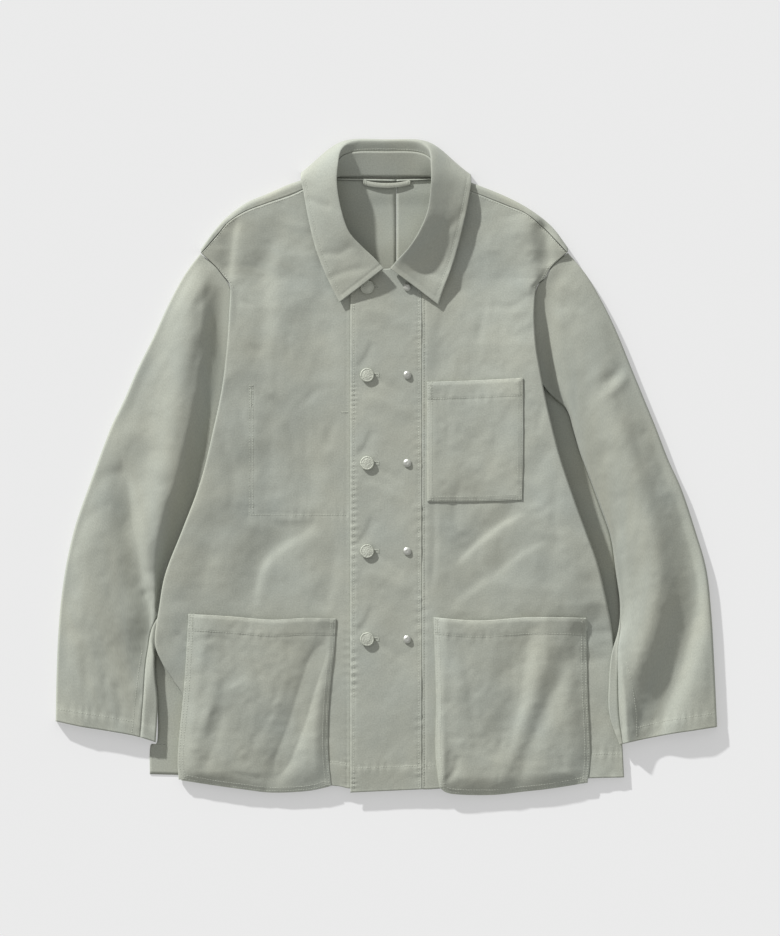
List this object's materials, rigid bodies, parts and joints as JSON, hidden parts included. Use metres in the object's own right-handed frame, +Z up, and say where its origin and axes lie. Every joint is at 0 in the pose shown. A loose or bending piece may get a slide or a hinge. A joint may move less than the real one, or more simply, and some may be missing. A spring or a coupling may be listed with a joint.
{
  "type": "chore jacket",
  "caption": "Button-through cotton chore jacket with a turned-down collar and patch pockets, laid out flat on its back.",
  "frame": {"origin": "centre of the plan, on the surface that the jacket lies on", "axes": "+Y from the hem to the collar, +X to the wearer's left, +Z up from the surface it lies on"},
  "size_m": [0.807, 0.8006, 0.0384],
  "materials": {
    "twill": "washed matt cotton twill, sage grey-green",
    "button": "satin tonal button with a pebbled face",
    "stud": "satin domed stud"
  },
  "bodies": {
    "root": {"back_right": "twill", "back_left": "twill", "front_right": "twill", "front_left": "twill", "placket": "twill", "sleeve_right_upper": "twill", "sleeve_right_under": "twill", "sleeve_left_upper": "twill", "sleeve_left_under": "twill", "collar_stand": "twill", "collar_fall": "twill", "chest_pocket": "twill", "hip_pocket_right": "twill", "hip_pocket_left": "twill", "inner_pocket": "twill", "hanger_loop": "twill", "button_1": "button", "stud_1": "stud", "button_2": "button", "stud_2": "stud", "button_3": "button", "stud_3": "stud", "button_4": "button", "stud_4": "stud", "button_5": "button", "stud_5": "stud"}
  },
  "joints": []
}
